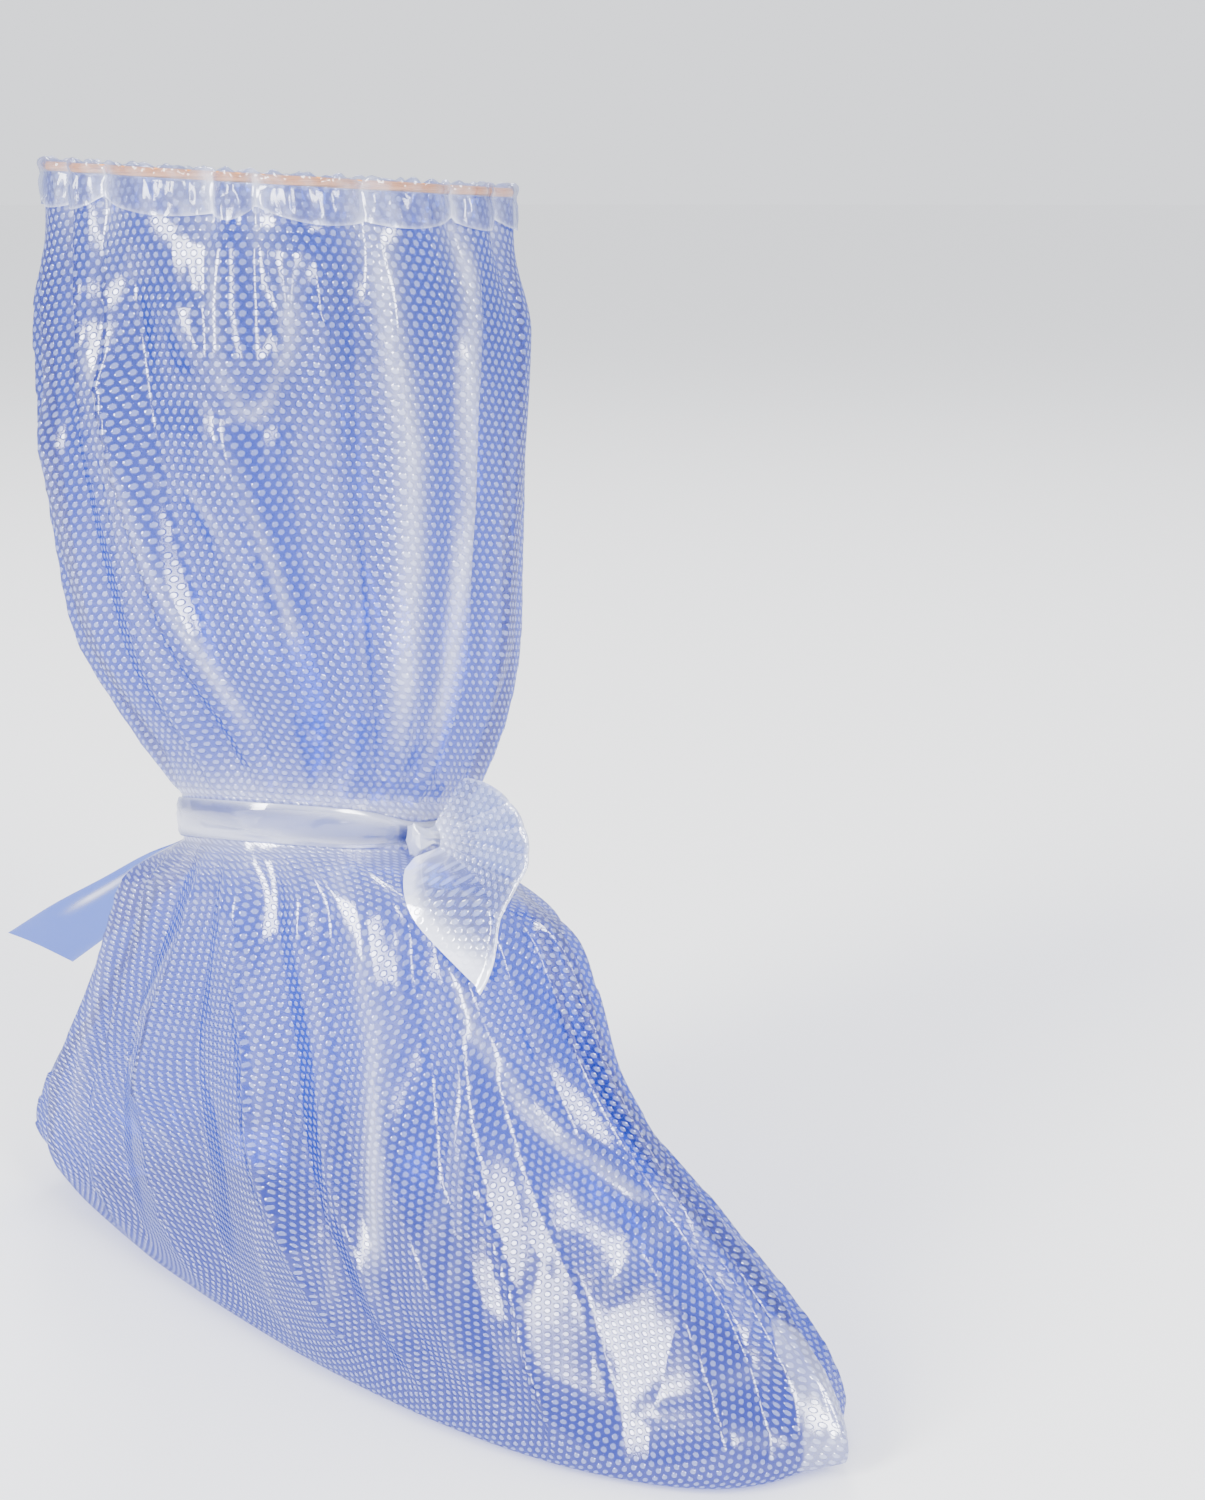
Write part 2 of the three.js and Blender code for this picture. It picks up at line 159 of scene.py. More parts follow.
# Height of the embossed dots, 0 between them and 1 on them, in staggered rows
def embossing(shading):
    cut = shading.add("ShaderNodeUVMap", {"uv_map": "cut"}, {})
    across = shading.add("ShaderNodeSeparateXYZ", {}, {0: cut}, 0) / (filmLook["pitch"] * metre)
    along = shading.add("ShaderNodeSeparateXYZ", {}, {0: cut}, 1) / (filmLook["rowPitch"] * metre)
    shifted = across + along.calculate("FLOOR").calculate("FLOORED_MODULO", 2) * 0.5
    aside = (shifted.calculate("FRACT") - 0.5) * (filmLook["pitch"] / filmLook["rowPitch"])
    above = along.calculate("FRACT") - 0.5
    away = (aside * aside + above * above) ** 0.5
    return ((filmLook["dotReach"] - away) / filmLook["dotRim"]).held()


# Height of the sharp little creases that handling leaves in film
def crumple(shading, wide, tall):
    spot = shading.add("ShaderNodeTexCoord", {}, {}, 3)
    stretched = shading.add("ShaderNodeMapping", {}, {"Vector": spot, "Scale": (wide, wide, tall)})
    cloud = shading.add("ShaderNodeTexNoise", {}, {"Vector": stretched, "Scale": 1, "Detail": 1})
    return 1 - (cloud - 0.5).calculate("ABSOLUTE") * filmLook["creaseSharpness"]


# Clear gloss over tinted clearness. The film is seen more where it is edge on, as glass is.
def filmFinish(name):
    kind = filmKinds[name]
    shading = Shading(name)
    milk = shading.add("ShaderNodeAttribute", {"attribute_name": "milk"}, {}, 2)
    facing = shading.add("ShaderNodeLayerWeight", {}, {"Blend": filmLook["edgeBlend"]}, 1)
    height = crumple(shading, kind["wide"], kind["tall"]) * kind["crumple"]
    share = facing * facing * filmLook["edgeOn"] + milk * kind["milky"] + kind["thin"]
    colour = filmLook["body"]
    if kind["dots"]:
        dot = embossing(shading) * (1 - milk * filmLook["dotsLostInMilk"]).held()
        height = height + dot * filmLook["dotHeight"]
        # Painted highlight: the dots are made more solid and lighter in colour than the film between them,
        # for light caught on the raised dots. Their bump is real relief.
        share = share + dot * filmLook["dotHighlightShare"]
        colour = shading.blend(dot, colour, filmLook["dot"])
    normal = shading.add("ShaderNodeBump", {}, {"Height": height, "Distance": metre, "Strength": 1.0})
    # The milky colour is the film's own where it is doubled, welded or creased. On the tail's streak it is
    # a painted highlight.
    colour = shading.blend(milk.held(), colour, filmLook["milk"])
    clear = shading.add("ShaderNodeBsdfTransparent", {}, {"Color": kind["tint"]})
    gloss = shading.add("ShaderNodeBsdfPrincipled", {}, {
        "Base Color": colour, "Roughness": kind["roughness"], "IOR": filmLook["index"],
        "Specular IOR Level": 1.0, "Normal": normal})
    seen = share.held(0, filmLook["mostSeen"])
    surface = shading.add("ShaderNodeMixShader", {}, {0: seen, 1: clear, 2: gloss})
    shading.add("ShaderNodeOutputMaterial", {}, {"Surface": surface})
    return shading.material


films = {name: filmFinish(name) for name in filmKinds}

elasticLook = {
    "ribs": 260, "wander": 1, "ribHeight": 0.3, "grain": 900, "roughness": 0.6,
    "dark": (0.66, 0.20, 0.02, 1), "light": (0.86, 0.34, 0.06, 1),
}


def elasticFinish():
    shading = Shading("tanElastic")
    spot = shading.add("ShaderNodeTexCoord", {}, {}, 3)
    ribs = shading.add("ShaderNodeTexWave", {"bands_direction": "Z"}, {
        "Vector": spot, "Scale": elasticLook["ribs"], "Distortion": elasticLook["wander"]})
    grain = shading.add("ShaderNodeTexNoise", {}, {
        "Vector": spot, "Scale": elasticLook["grain"], "Detail": 2})
    colour = shading.blend(grain, elasticLook["dark"], elasticLook["light"])
    normal = shading.add("ShaderNodeBump", {}, {
        "Height": ribs, "Distance": elasticLook["ribHeight"] * metre})
    skin = shading.add("ShaderNodeBsdfPrincipled", {}, {
        "Base Color": colour, "Roughness": elasticLook["roughness"], "Normal": normal})
    shading.add("ShaderNodeOutputMaterial", {}, {"Surface": skin})
    return shading.material


tanElastic = elasticFinish()

print("stage: film shape")

cover = {
    "rimHeight": 370, "tieHeight": 162, "soleLength": 350, "soleWidth": 116, "ankleWidth": 93,
    "ankleForward": 20, "rimWidth": 147, "filmWall": 1, "fitGap": 0.3, "hemTall": 14, "bandTall": 13,
    "tieTilt": 14, "tieTurn": -65, "rimTilt": 4, "rimTurn": -142, "tiltStart": 0.2,
    "gatherCount": 12, "gatherDepth": 1.6, "gatherUp": 52, "gatherDown": 75,
    "hemRuffle": 4, "hemPleatReach": 46, "taperTop": 0.55,
}
waistBottom = cover["tieHeight"] - cover["bandTall"] / 2
waistTop = cover["tieHeight"] + cover["bandTall"] / 2
hemBottom = cover["rimHeight"] - cover["hemTall"]

# Sections of the foot: rise is a share of the height up to the band, back, widest and front are
# shares of the sole's length, and half is a share of its width
footSections = [
    # rise, back, widest, front, half, frontPower, backPower
    (0.0, -0.27, 0.27, 0.6, 0.42, 2.3, 2.6),
    (0.02, -0.297, 0.27, 0.613, 0.465, 2.3, 2.6),
    (0.06, -0.33, 0.26, 0.62, 0.49, 2.2, 2.6),
    (0.13, -0.36, 0.24, 0.61, 0.49, 1.95, 2.6),
    (0.22, -0.35, 0.19, 0.586, 0.48, 1.72, 2.4),
    (0.35, -0.305, 0.15, 0.532, 0.475, 1.45, 2.3),
    (0.48, -0.252, 0.12, 0.468, 0.465, 1.4, 2.2),
    (0.64, -0.206, 0.105, 0.405, 0.45, 1.35, 2.1),
    (0.8, -0.166, 0.09, 0.37, 0.44, 1.4, 2.0),
    (0.91, -0.135, 0.08, 0.335, 0.425, 1.5, 2.0),
    (0.97, -0.095, 0.065, 0.255, 0.41, 1.75, 2.0),
]
soleTaper = [
    # share of the sole's length ahead of the origin, share of its width
    (-0.37, 0.7), (-0.21, 0.75), (-0.07, 0.83), (0.03, 0.89), (0.15, 0.96), (0.28, 1.0), (0.64, 1.0),
]
shaftSections = [
    # rise above the band, then shares of the rim's width: centre, halfLong, half
    (0.06, 0.12, 0.345, 0.34),
    (0.16, 0.1, 0.4, 0.395),
    (0.28, 0.07, 0.445, 0.44),
    (0.44, 0.055, 0.465, 0.46),
    (0.62, 0.05, 0.48, 0.475),
    (0.78, 0.05, 0.49, 0.48),
    (0.9, 0.055, 0.485, 0.48),
    (1.0, 0.06, 0.475, 0.475),
]
pinchTurns = [-165, -150, -125, -105, -90, -60, -50, -25, 0, 20, 45, 70, 95, 120, 145, 175]

# Broad folds: turn and rise of the top end, of the lower end, then depth and width as shares of
# the ankle's width
folds = [
    (-58, 1.99, -52, 1.74, 0.06, 0.055), (-42, 1.99, -50, 1.72, 0.06, 0.055),
    (-69, 1.89, -55, 1.7, 0.05, 0.06), (-89, 1.8, -66, 1.18, 0.075, 0.07),
    (-62, 1.74, -47, 1.1, 0.07, 0.07), (-5, 1.99, -13, 1.1, 0.08, 0.11),
    (-113, 1.7, -95, 1.1, 0.06, 0.08), (30, 1.95, 22, 1.15, 0.06, 0.09),
    (76, 1.8, 62, 1.1, 0.065, 0.09), (118, 1.9, 108, 1.2, 0.07, 0.09),
    (160, 1.75, 150, 1.1, 0.065, 0.09), (-150, 1.9, -138, 1.15, 0.06, 0.09),
    (-84, 0.96, -116, 0.4, 0.06, 0.08), (-67, 0.96, -98, 0.12, 0.065, 0.08),
    (-47, 0.96, -76, 0.1, 0.07, 0.08), (-30, 0.9, -64, 0.12, 0.055, 0.07),
    (-44, 0.94, -20, 0.42, -0.07, 0.08), (32, 0.94, 20, 0.42, -0.07, 0.08),
    (60, 0.96, 76, 0.1, 0.065, 0.08), (95, 0.96, 104, 0.12, 0.06, 0.08),
    (-140, 0.96, -155, 0.25, 0.05, 0.09), (140, 0.96, 152, 0.25, 0.05, 0.09),
]

# Ridges between which the film hangs in flat facets. Each row has the ridge's turn at the band,
# at 0.35 and 0.7 of the way and at the far end, then where the valley after it lies, as a share.
footRidges = [
    (-172, -170, -166, -162, 0.5), (-143, -150, -148, -142, 0.6), (-118, -130, -128, -124, 0.4),
    (-96, -113, -112, -108, 0.35), (-81, -82, -86, -94, 0.62), (-66, -66, -71, -84, 0.4),
    (-53, -55, -61, -74, 0.55), (-41, -41, -50, -64, 0.35), (-30, -27, -24, -30, 0.55),
    (-12, -8, -8, -10, 0.5), (12, 14, 10, 4, 0.4), (32, 30, 26, 20, 0.6), (52, 52, 50, 46, 0.45),
    (68, 76, 80, 84, 0.6), (86, 98, 104, 104, 0.4), (106, 118, 124, 126, 0.55), (130, 140, 146, 148, 0.45),
    (158, 164, 168, 172, 0.55),
]
shaftRidges = [
    (-168, -170, -172, -174, 0.5), (-146, -150, -154, -156, 0.6), (-124, -130, -136, -140, 0.4),
    (-104, -108, -114, -118, 0.6), (-84, -87, -95, -99, 0.65), (-66, -77, -86, -90, 0.35),
    (-49, -49, -58, -66, 0.6), (-34, -33, -34, -37, 0.45), (-17, -17, -20, -22, 0.7),
    (-7, -1, 0, 3, 0.3), (12, 16, 20, 24, 0.55), (34, 40, 46, 50, 0.45), (54, 62, 70, 74, 0.6),
    (74, 80, 88, 94, 0.4), (96, 104, 112, 116, 0.55), (116, 124, 132, 136, 0.45), (138, 144, 150, 154, 0.6),
    (164, 168, 172, 174, 0.5),
]

# Sharp creases of the film: how far they stand out, their half width, how milky they are, then
# turn and level of each point that they pass, in degrees and millimetres above the floor
creases = [
    (2.6, 1.8, 0.8, ((-58, 352), (-58, 334), (-57, 322), (-56, 311), (-54, 304), (-51, 302), (-48, 305),
                     (-45, 312), (-43, 324), (-43, 350))),
    (1.6, 1.8, 0.5, ((-67, 329), (-61, 321), (-56, 307))),
    (1.8, 1.8, 1.0, ((-96, 322), (-88, 306), (-82, 283), (-77, 258), (-68, 232), (-62, 200))),
    (2.0, 1.8, 1.0, ((-61, 308), (-57, 291), (-53, 274), (-49, 258), (-46, 241), (-49, 198))),
    (1.6, 1.8, 0.5, ((-77, 282), (-67, 280), (-59, 268), (-54, 255), (-49, 235))),
    (2.4, 3.0, 1.2, ((-22, 353), (-21, 325), (-17, 293), (-17, 258), (-19, 222), (-17, 190))),
    (2.0, 3.0, 1.2, ((3, 353), (-2, 316), (0, 274), (-6, 233), (-8, 190))),
    (1.6, 2.2, 0.3, ((-97, 325), (-90, 297), (-86, 259), (-84, 228), (-84, 198))),
    (1.0, 1.8, 0.3, ((-118, 330), (-112, 290), (-104, 240), (-98, 195))),
    (1.0, 1.8, 0.3, ((-36, 345), (-34, 300), (-33, 250), (-36, 200))),
    (1.0, 1.6, 0.3, ((-30, 268), (-29, 230), (-30, 192))),
    (1.2, 1.8, 0.3, ((22, 345), (19, 290), (12, 230), (8, 190))),
    (1.2, 2.0, 0.3, ((50, 350), (46, 290), (38, 230), (34, 190))),
    (1.2, 2.0, 0.3, ((92, 350), (84, 280), (76, 220), (72, 185))),
    (1.2, 2.0, 0.3, ((132, 345), (126, 280), (112, 220), (106, 180))),
    (1.2, 2.0, 0.3, ((172, 350), (168, 280), (158, 220), (150, 180))),
    (1.2, 2.0, 0.3, ((-140, 345), (-136, 280), (-130, 225), (-124, 185))),
    (1.8, 1.6, 0.3, ((-94, 164), (-108, 135), (-118, 104), (-121, 88), (-113, 73), (-106, 53))),
    (1.8, 1.6, 0.3, ((-81, 164), (-80, 139), (-80, 108), (-85, 73), (-93, 40), (-96, 20), (-95, 6))),
    (1.8, 1.6, 0.3, ((-66, 166), (-65, 142), (-65, 112), (-70, 75), (-83, 37), (-94, 6))),
    (1.4, 2.4, 1.0, ((-52, 165), (-54, 143), (-55, 114), (-62, 73), (-78, 31))),
    (1.2, 1.6, 0.3, ((-45, 156), (-49, 137), (-53, 113), (-61, 73))),
    (1.8, 1.6, 0.3, ((-40, 141), (-41, 113), (-50, 78), (-69, 35))),
    (1.8, 1.4, 0.3, ((-38, 140), (-39, 125), (-40, 113), (-50, 72), (-65, 31), (-60, 28))),
    (1.4, 2.2, 0.3, ((-36, 69), (-48, 47), (-60, 28))),
    (2.4, 2.0, 1.0, ((-41, 143), (-38, 122), (-36, 113), (-34, 99), (-30, 88), (-20, 75), (-9, 71))),
    (1.6, 2.6, 0.3, ((-9, 71), (-29, 59), (-41, 45), (-42, 32), (-44, 23))),
    (1.4, 2.2, 0.3, ((-9, 71), (-14, 56), (-6, 43), (0, 34))),
    (1.2, 2.2, 0.3, ((-44, 23), (-29, 29), (0, 34))),
    (1.6, 1.8, 0.3, ((0, 34), (-1, 22), (-3, 10))),
    (1.2, 2.2, 0.3, ((-44, 23), (-30, 20), (-13, 14))),
    (1.4, 1.8, 0.3, ((30, 150), (26, 120), (16, 95), (-9, 71))),
    (1.4, 2.0, 0.3, ((62, 160), (66, 120), (76, 70), (88, 20))),
    (1.4, 2.0, 0.3, ((84, 160), (92, 115), (98, 60), (100, 15))),
    (1.2, 2.0, 0.3, ((106, 158), (116, 110), (124, 60), (126, 15))),
    (1.2, 2.0, 0.3, ((128, 155), (138, 110), (146, 60))),
    (1.2, 2.0, 0.3, ((155, 150), (162, 110), (168, 60))),
    (1.2, 2.0, 0.3, ((-170, 150), (-166, 110), (-160, 60))),
    (1.2, 2.0, 0.3, ((-140, 155), (-146, 115), (-142, 70), (-138, 30))),
    (1.0, 2.2, 0.3, ((20, 85), (24, 50), (30, 20))),
    (1.0, 2.2, 0.3, ((45, 110), (52, 60), (62, 20))),
]

# Small pleats that run out from the band: turn, how far each stands out, and how far it reaches
# above and below
pleats = [
    (-172, 1.8, 20, 26), (-158, 1.2, 34, 18), (-147, 1.9, 16, 30), (-134, 1.3, 30, 22), (-122, 2.0, 22, 34),
    (-112, 1.2, 34, 16), (-103, 1.9, 18, 28), (-95, 1.3, 26, 40), (-88, 2.0, 34, 18), (-79, 1.2, 18, 30),
    (-73, 1.8, 40, 20), (-65, 1.3, 20, 36), (-58, 2.0, 30, 22), (-50, 1.4, 42, 30), (-43, 1.9, 22, 18),
    (-35, 1.3, 34, 30), (-27, 1.9, 20, 22), (-18, 1.5, 40, 16), (-6, 1.8, 26, 20), (5, 1.3, 34, 26),
    (17, 1.9, 22, 18), (29, 1.3, 36, 30), (42, 1.9, 20, 22), (54, 1.3, 30, 34), (68, 1.9, 22, 18),
    (81, 1.3, 34, 28), (95, 1.9, 20, 20), (110, 1.3, 30, 32), (126, 1.9, 24, 20), (142, 1.3, 32, 28),
    (160, 1.8, 22, 20),
]

# How folds, facets, pleats and creases start and fade, as shares of their own length. A facet's
# depth is a share of its width and creaseMilk counts half widths. The pleats' numbers and
# floorFade are in millimetres.
drape = {
    "foldLead": 0.05, "foldStart": 0.2, "foldPast": 1.1, "foldFade": 0.35,
    "footFacet": 0.42, "footFacetStart": 0.12, "floorFade": 30,
    "shaftFacet": 0.3, "shaftFacetStart": 0.1, "shaftFacetEnd": 0.15,
    "pleatWide": 1.8, "pleatSpread": 18, "pleatStart": 5,
    "creaseStart": 0.12, "creaseEnd": 0.2, "creaseTips": 0.2, "creaseMilk": 1.4,
}

# Points of a closed sheet that lie nearer to each other than this, in metres, are joined
weldWithin = 0.00001


def mix(first, second, share):
    return first + (second - first) * share


def smooth(share):
    held = np.clip(share, 0, 1)
    return held * held * (3 - 2 * held)


# Value of a column of rows at a rise, on a smooth curve through the rows
def column(rows, rise, index):
    rows = np.array(rows)
    row = np.clip(np.searchsorted(rows[:, 0], rise, side="left") - 1, 0, len(rows) - 2)
    before = np.maximum(0, row - 1)
    after = np.minimum(len(rows) - 1, row + 2)
    rises, values = rows[:, 0], rows[:, index]
    span = rises[row + 1] - rises[row]
    share = np.clip((rise - rises[row]) / span, 0, 1)
    leave = (values[row + 1] - values[before]) / (rises[row + 1] - rises[before]) * span
    arrive = (values[after] - values[row]) / (rises[after] - rises[row]) * span
    square, cube = share ** 2, share ** 3
    return (values[row] * (2 * cube - 3 * square + 1) + leave * (cube - 2 * square + share)
            + values[row + 1] * (3 * square - 2 * cube) + arrive * (cube - square))


sections = [
    (rise, back * cover["soleLength"], widest * cover["soleLength"], front * cover["soleLength"],
     half * cover["soleWidth"], frontPower, backPower)
    for rise, back, widest, front, half, frontPower, backPower in footSections]
sections.append((
    1, cover["ankleForward"] - cover["ankleWidth"] / 2, cover["ankleForward"],
    cover["ankleForward"] + cover["ankleWidth"] / 2, cover["ankleWidth"] / 2, 2, 2))
sections += [
    (1 + rise, (centre - halfLong) * cover["rimWidth"], centre * cover["rimWidth"],
     (centre + halfLong) * cover["rimWidth"], half * cover["rimWidth"], 2, 2)
    for rise, centre, halfLong, half in shaftSections]


def riseAt(height):
    shaft = np.minimum(2, 1 + np.maximum(0, height - waistTop) / (hemBottom - waistTop))
    return np.where(height < waistBottom, height / waistBottom, shaft)


def sectionPoint(turn, rise):
    cosine, sine = np.cos(np.radians(turn)), np.sin(np.radians(turn))
    widest = column(sections, rise, 2)
    end = np.where(cosine > 0, column(sections, rise, 3), column(sections, rise, 1))
    power = 2 / np.where(cosine > 0, column(sections, rise, 5), column(sections, rise, 6))
    x = widest + (end - widest) * np.abs(cosine) ** power
    taper = column(soleTaper, x / cover["soleLength"], 1)
    half = column(sections, rise, 4) * mix(taper, 1, smooth(rise / cover["taperTop"]))
    return x, half * np.sign(sine) * np.abs(sine) ** power


# How far the level lines of the film are lifted: the tie and the mouth both lie aslant
def tilt(turn, rise):
    tie = cover["tieTilt"] * np.cos(np.radians(turn - cover["tieTurn"]))
    rim = cover["rimTilt"] * np.cos(np.radians(turn - cover["rimTurn"]))
    foot = tie * smooth((rise - cover["tiltStart"]) / (1 - cover["tiltStart"]))
    return np.where(rise < 1, foot, mix(tie, rim, smooth(rise - 1)))


def turnBetween(turn, other):
    return np.abs((turn - other + 540) % 360 - 180)


# Which panel between two pinches of the mouth a turn lies in, and how far along it
def mouthPanel(turn):
    ends = np.array(pinchTurns + [pinchTurns[0] + 360])
    held = (turn - ends[0]) % 360 + ends[0]
    panel = np.clip(np.searchsorted(ends, held, side="right"), 1, len(ends) - 1) - 1
    return panel, (held - ends[panel]) / (ends[panel + 1] - ends[panel])


# 0 at a pinch of the mouth and 1 midway between two pinches
def ruffle(turn):
    share = mouthPanel(turn)[1]
    return 4 * share * (1 - share)


# How far the broad folds stand out
def foldDepth(turn, rise):
    depth = 0
    for topTurn, topRise, lowTurn, lowRise, tall, wide in folds:
        along = (topRise - rise) / (topRise - lowRise)
        start = smooth((along + drape["foldLead"]) / drape["foldStart"])
        hold = start * smooth((drape["foldPast"] - along) / drape["foldFade"])
        aside = np.radians(turnBetween(turn, mix(topTurn, lowTurn, along))) * cover["ankleWidth"] / 2
        spread = 1 + (aside / (wide * cover["ankleWidth"])) ** 2
        depth = depth + tall * cover["ankleWidth"] * hold / spread
    return depth


# The film between two ridges falls in a flat facet to a valley and rises in another
def facetDepth(turn, share, ridges, tall):
    lines = np.array([np.interp(share, (0, 0.35, 0.7, 1), row[:4]) for row in ridges])
    offsets = np.concatenate([lines - lines[0], np.full((1, len(turn)), 360.0)])
    relative = (turn - lines[0]) % 360
    before = np.clip((relative >= offsets).sum(axis=0) - 1, 0, len(ridges) - 1)
    each = np.arange(len(turn))
    span = offsets[before + 1, each] - offsets[before, each]
    part = (relative - offsets[before, each]) / span
    valley = np.array([row[4] for row in ridges])[before]
    tent = np.where(part < valley, 1 - part / valley, (part - valley) / (1 - valley))
    return tall * np.radians(span) * cover["ankleWidth"] / 2 * (tent - 0.5)


def filmFacets(turn, height):
    down = np.clip((waistBottom - height) / waistBottom, 0, 1)
    up = np.clip((height - waistTop) / (hemBottom - waistTop), 0, 1)
    foot = facetDepth(turn, down, footRidges, drape["footFacet"])
    foot = foot * smooth(down / drape["footFacetStart"]) * smooth(height / drape["floorFade"])
    shaft = facetDepth(turn, up, shaftRidges, drape["shaftFacet"])
    shaft = shaft * smooth(up / drape["shaftFacetStart"]) * smooth((1 - up) / drape["shaftFacetEnd"])
    return foot + shaft


def pleatDepth(turn, height):
    above = np.maximum(0, height - waistTop)
    below = np.maximum(0, waistBottom - height)
    depth = 0
    for at, tall, up, down in pleats:
        aside = np.radians(turnBetween(turn, at)) * cover["ankleWidth"] / 2
        wide = drape["pleatWide"] + (above + below) / drape["pleatSpread"]
        reach = np.exp(-above / up - below / down)
        depth = depth + tall * reach * np.exp(-aside / wide)
    return depth * smooth((above + below) / drape["pleatStart"])


# The gathers at the band, the pinches at the mouth and the broad folds together
def relief(turn, height):
    rise = riseAt(height)
    away = np.maximum(0, np.maximum(waistBottom - height, height - waistTop))
    reach = np.where(height < waistBottom, cover["gatherDown"], cover["gatherUp"])
    gather = np.cos(np.radians(cover["gatherCount"] * turn)) * cover["gatherDepth"]
    swell = smooth(away / cover["bandTall"]) * np.exp(-away / reach) * smooth(height / cover["bandTall"])
    below = np.maximum(0, hemBottom - height)
    pinch = cover["hemRuffle"] * (ruffle(turn) - 0.5) * np.exp(-below / cover["hemPleatReach"])
    return gather * swell + pinch + foldDepth(turn, rise)


# Points of the film at turns and heights. Out moves them along the section's normal.
def filmPoints(turn, height, out=0.0, plain=False):
    rise = riseAt(height)
    x, y = sectionPoint(turn, rise)
    xNext, yNext = sectionPoint(turn + 1, rise)
    xLast, yLast = sectionPoint(turn - 1, rise)
    length = np.hypot(xNext - xLast, yNext - yLast)
    aside = 0 if plain else relief(turn, height)
    aside = aside + out
    return np.stack([
        x + (yNext - yLast) / length * aside,
        y - (xNext - xLast) / length * aside,
        height + tilt(turn, rise)], axis=-1)


# How far the sharp creases lift the film at its points, and how milky they make it
def creaseLift(spots):
    lift = np.zeros(len(spots))
    cloudy = np.zeros(len(spots))
    for tall, wide, milky, passed in creases:
        turns = np.array([turn for turn, level in passed], dtype=float)
        levels = np.array([level for turn, level in passed], dtype=float)
        line = filmPoints(turns, levels - tilt(turns, riseAt(levels)))
        steps = np.linalg.norm(np.diff(line, axis=0), axis=1)
        total = steps.sum()
        nearest = np.full(len(spots), np.inf)
        share = np.zeros(len(spots))
        for index, step in enumerate(steps):
            along = line[index + 1] - line[index]
            part = np.clip((spots - line[index]) @ along / step ** 2, 0, 1)
            away = np.linalg.norm(spots - line[index] - part[:, None] * along, axis=1)
            closer = away < nearest
            share = np.where(closer, (steps[:index].sum() + part * step) / total, share)
            nearest = np.minimum(nearest, away)
        fade = smooth(share / drape["creaseStart"] + drape["creaseTips"])
        fade = fade * smooth((1 - share) / drape["creaseEnd"] + drape["creaseTips"])
        lift = np.maximum(lift, tall * fade * np.exp(-nearest / wide))
        milk = milky * fade * np.exp(-(nearest / (drape["creaseMilk"] * wide)) ** 2)
        cloudy = np.maximum(cloudy, milk)
    return lift, cloudy


# A sheet from a grid: place gives its points and its lengths on the cut film, from shares
# across and along it, and how milky it is at each
def sheetShape(across, along, place, closed):
    shape = bmesh.new()
    bmesh.ops.create_grid(shape, x_segments=across, y_segments=along, size=0.5)
    shares = np.array([vert.co[:2] for vert in shape.verts]) + 0.5
    spots, cut, milk = place(shares[:, 0], shares[:, 1])
    lengths = shape.loops.layers.uv.new("cut")
    cloudy = shape.verts.layers.float.new("milk")
    for face in shape.faces:
        face.smooth = True
        for corner in face.loops:
            corner[lengths].uv = cut[corner.vert.index] * metre
    for vert, spot, share in zip(shape.verts, spots, milk):
        vert.co = Vector(spot) * metre
        vert[cloudy] = share
    if closed:
        bmesh.ops.remove_doubles(shape, verts=shape.verts, dist=weldWithin)
    return shape


def meshPiece(name, shape, material):
    mesh = bpy.data.meshes.new(name)
    shape.to_mesh(mesh)
    shape.free()
    mesh.materials.append(material)
    piece = bpy.data.objects.new(name, mesh)
    bpy.context.scene.collection.objects.link(piece)
    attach(piece, "root")
    return piece


# Faces of an open sheet are turned to point away from a middle
def turnOutward(shape, middle):
    bmesh.ops.recalc_face_normals(shape, faces=shape.faces)
    facing = sum(
        face.normal.dot(face.calc_center_median() - middle) * face.calc_area() for face in shape.faces)
    if facing < 0:
        bmesh.ops.reverse_faces(shape, faces=shape.faces)


print("stage: film bag")

bag = {
    "across": 384, "along": 250, "seamTurn": 135, "low": 1.15, "topGap": 4.2, "creaseStart": 6,
    "weldReach": 8, "weldSpread": 9, "weldFull": 0.04, "weldTop": 0.3, "weldFade": 0.15,
    "waistMilk": 0.55, "waistReach": 9, "rimMilk": 0.5, "rimReach": 10, "creaseMilk": 0.5, "weldMilk": 0.4,
    "weldShown": 0.05, "middle": (0.03, 0, 0.15),
}
bagTop = cover["rimHeight"] - bag["topGap"]


# The welded margin stands out along the toe, between two rises
def bagPlace(shareAcross, shareAlong):
    turn = bag["seamTurn"] - 360 * (1 - shareAcross)
    height = bagTop * shareAlong ** bag["low"]
    spots = filmPoints(turn, height, pleatDepth(turn, height) + filmFacets(turn, height))
    outward = filmPoints(turn, height, 1, True) - filmPoints(turn, height, 0, True)
    lift, cloudy = creaseLift(spots)
    lift = lift * smooth(height / bag["creaseStart"])
    spots = spots + outward * lift[:, None]
    rise = riseAt(height)
    aside = np.maximum(0, 1 - turnBetween(turn, 0) / bag["weldSpread"])
    weld = smooth(rise / bag["weldFull"]) * smooth((bag["weldTop"] - rise) / bag["weldFade"])
    spots[:, 0] += bag["weldReach"] * aside * weld
    away = np.maximum(0, np.maximum(waistBottom - height, height - waistTop))
    below = np.maximum(0, hemBottom - height)
    rimMilk = bag["rimMilk"] * np.exp(-below / bag["rimReach"]) * (1 - ruffle(turn))
    milk = bag["waistMilk"] * np.exp(-away / bag["waistReach"]) + rimMilk
    milk = milk + bag["creaseMilk"] * cloudy + bag["weldMilk"] * (aside * weld > bag["weldShown"])
    return spots, bagCut(shareAcross, shareAlong, turn, height), milk


